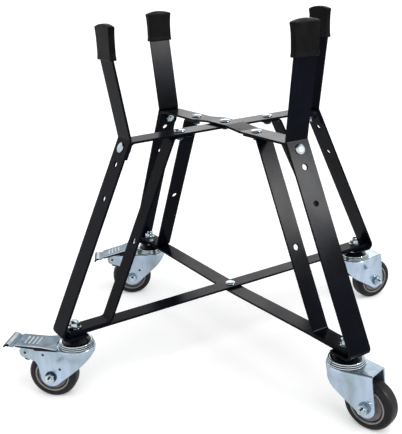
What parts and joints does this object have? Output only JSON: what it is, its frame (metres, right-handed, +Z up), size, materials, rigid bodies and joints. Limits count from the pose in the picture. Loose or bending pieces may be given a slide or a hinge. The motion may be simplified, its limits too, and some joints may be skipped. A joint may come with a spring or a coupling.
{
  "type": "rolling grill stand",
  "caption": "Rolling cradle for an egg-shaped charcoal grill: bent flat-steel legs with capped arms, crossed bars above and below, and swivel casters with foot brakes.",
  "frame": {"origin": "on the floor, under the middle of the object's box", "axes": "+Z up, +X to the right and +Y to the back, with the legs on the diagonals and the braked casters at -X"},
  "size_m": [0.5841, 0.5036, 0.552],
  "materials": {
    "black_paint": "gloss black powder coat",
    "cap_plastic": "satin black moulded plastic",
    "zinc": "bright blue-white zinc plate",
    "tyre_rubber": "charcoal moulded rubber"
  },
  "bodies": {
    "frame": {"outer_strap_front_left": "black_paint", "inner_strap_front_left": "black_paint", "end_cap_front_left": "cap_plastic", "stem_nut_front_left": "zinc", "waist_bolt_front_left": "zinc", "waist_nut_front_left": "zinc", "flange_bolt_front_left": "zinc", "flange_nut_front_left": "zinc", "swivel_head_front_left": "zinc", "outer_strap_front_right": "black_paint", "inner_strap_front_right": "black_paint", "end_cap_front_right": "cap_plastic", "stem_nut_front_right": "zinc", "waist_bolt_front_right": "zinc", "waist_nut_front_right": "zinc", "flange_bolt_front_right": "zinc", "flange_nut_front_right": "zinc", "swivel_head_front_right": "zinc", "outer_strap_back_right": "black_paint", "inner_strap_back_right": "black_paint", "end_cap_back_right": "cap_plastic", "stem_nut_back_right": "zinc", "waist_bolt_back_right": "zinc", "waist_nut_back_right": "zinc", "flange_bolt_back_right": "zinc", "flange_nut_back_right": "zinc", "swivel_head_back_right": "zinc", "outer_strap_back_left": "black_paint", "inner_strap_back_left": "black_paint", "end_cap_back_left": "cap_plastic", "stem_nut_back_left": "zinc", "waist_bolt_back_left": "zinc", "waist_nut_back_left": "zinc", "flange_bolt_back_left": "zinc", "flange_nut_back_left": "zinc", "swivel_head_back_left": "zinc", "top_bar_lower": "black_paint", "top_bar_upper": "black_paint", "base_bar_upper": "black_paint", "base_bar_lower": "black_paint", "top_centre_bolt": "zinc", "top_centre_nut": "zinc", "base_centre_bolt": "zinc", "base_centre_nut": "zinc"},
    "caster_fork_front_left": {"fork_front_left": "zinc", "axle_front_left": "zinc", "pedal_pin_front_left": "zinc"},
    "caster_wheel_front_left": {"wheel_front_left": "tyre_rubber"},
    "brake_front_left": {"brake_pedal_front_left": "zinc"},
    "caster_fork_front_right": {"fork_front_right": "zinc", "axle_front_right": "zinc"},
    "caster_wheel_front_right": {"wheel_front_right": "tyre_rubber"},
    "caster_fork_back_right": {"fork_back_right": "zinc", "axle_back_right": "zinc"},
    "caster_wheel_back_right": {"wheel_back_right": "tyre_rubber"},
    "caster_fork_back_left": {"fork_back_left": "zinc", "axle_back_left": "zinc", "pedal_pin_back_left": "zinc"},
    "caster_wheel_back_left": {"wheel_back_left": "tyre_rubber"},
    "brake_back_left": {"brake_pedal_back_left": "zinc"}
  },
  "joints": [
    {"name": "swivel_front_left", "type": "hinge", "parent": "frame", "child": "caster_fork_front_left", "pos_m": [-0.17932, -0.20332, 0.089], "axis": [0, 0, 1], "continuous": true},
    {"name": "roll_front_left", "type": "hinge", "parent": "caster_fork_front_left", "child": "caster_wheel_front_left", "pos_m": [-0.21929, -0.20493, 0.0375], "axis": [0.0401, -0.9992, 0], "continuous": true},
    {"name": "brake_front_left", "type": "hinge", "parent": "caster_fork_front_left", "child": "brake_front_left", "pos_m": [-0.25626, -0.20641, 0.0776], "axis": [0.0401, -0.9992, 0], "range_deg": [0, 16]},
    {"name": "swivel_front_right", "type": "hinge", "parent": "frame", "child": "caster_fork_front_right", "pos_m": [0.22132, -0.20332, 0.089], "axis": [0, 0, 1], "continuous": true},
    {"name": "roll_front_right", "type": "hinge", "parent": "caster_fork_front_right", "child": "caster_wheel_front_right", "pos_m": [0.25641, -0.22253, 0.0375], "axis": [0.4802, 0.8771, 0], "continuous": true},
    {"name": "swivel_back_right", "type": "hinge", "parent": "frame", "child": "caster_fork_back_right", "pos_m": [0.22132, 0.19732, 0.089], "axis": [0, 0, 1], "continuous": true},
    {"name": "roll_back_right", "type": "hinge", "parent": "caster_fork_back_right", "child": "caster_wheel_back_right", "pos_m": [0.25241, 0.2225, 0.0375], "axis": [-0.6293, 0.7771, 0], "continuous": true},
    {"name": "swivel_back_left", "type": "hinge", "parent": "frame", "child": "caster_fork_back_left", "pos_m": [-0.17932, 0.19732, 0.089], "axis": [0, 0, 1], "continuous": true},
    {"name": "roll_back_left", "type": "hinge", "parent": "caster_fork_back_left", "child": "caster_wheel_back_left", "pos_m": [-0.21719, 0.18443, 0.0375], "axis": [0.3223, -0.9466, 0], "continuous": true},
    {"name": "brake_back_left", "type": "hinge", "parent": "caster_fork_back_left", "child": "brake_back_left", "pos_m": [-0.25222, 0.17251, 0.0776], "axis": [0.3223, -0.9466, 0], "range_deg": [-16, 0]}
  ]
}
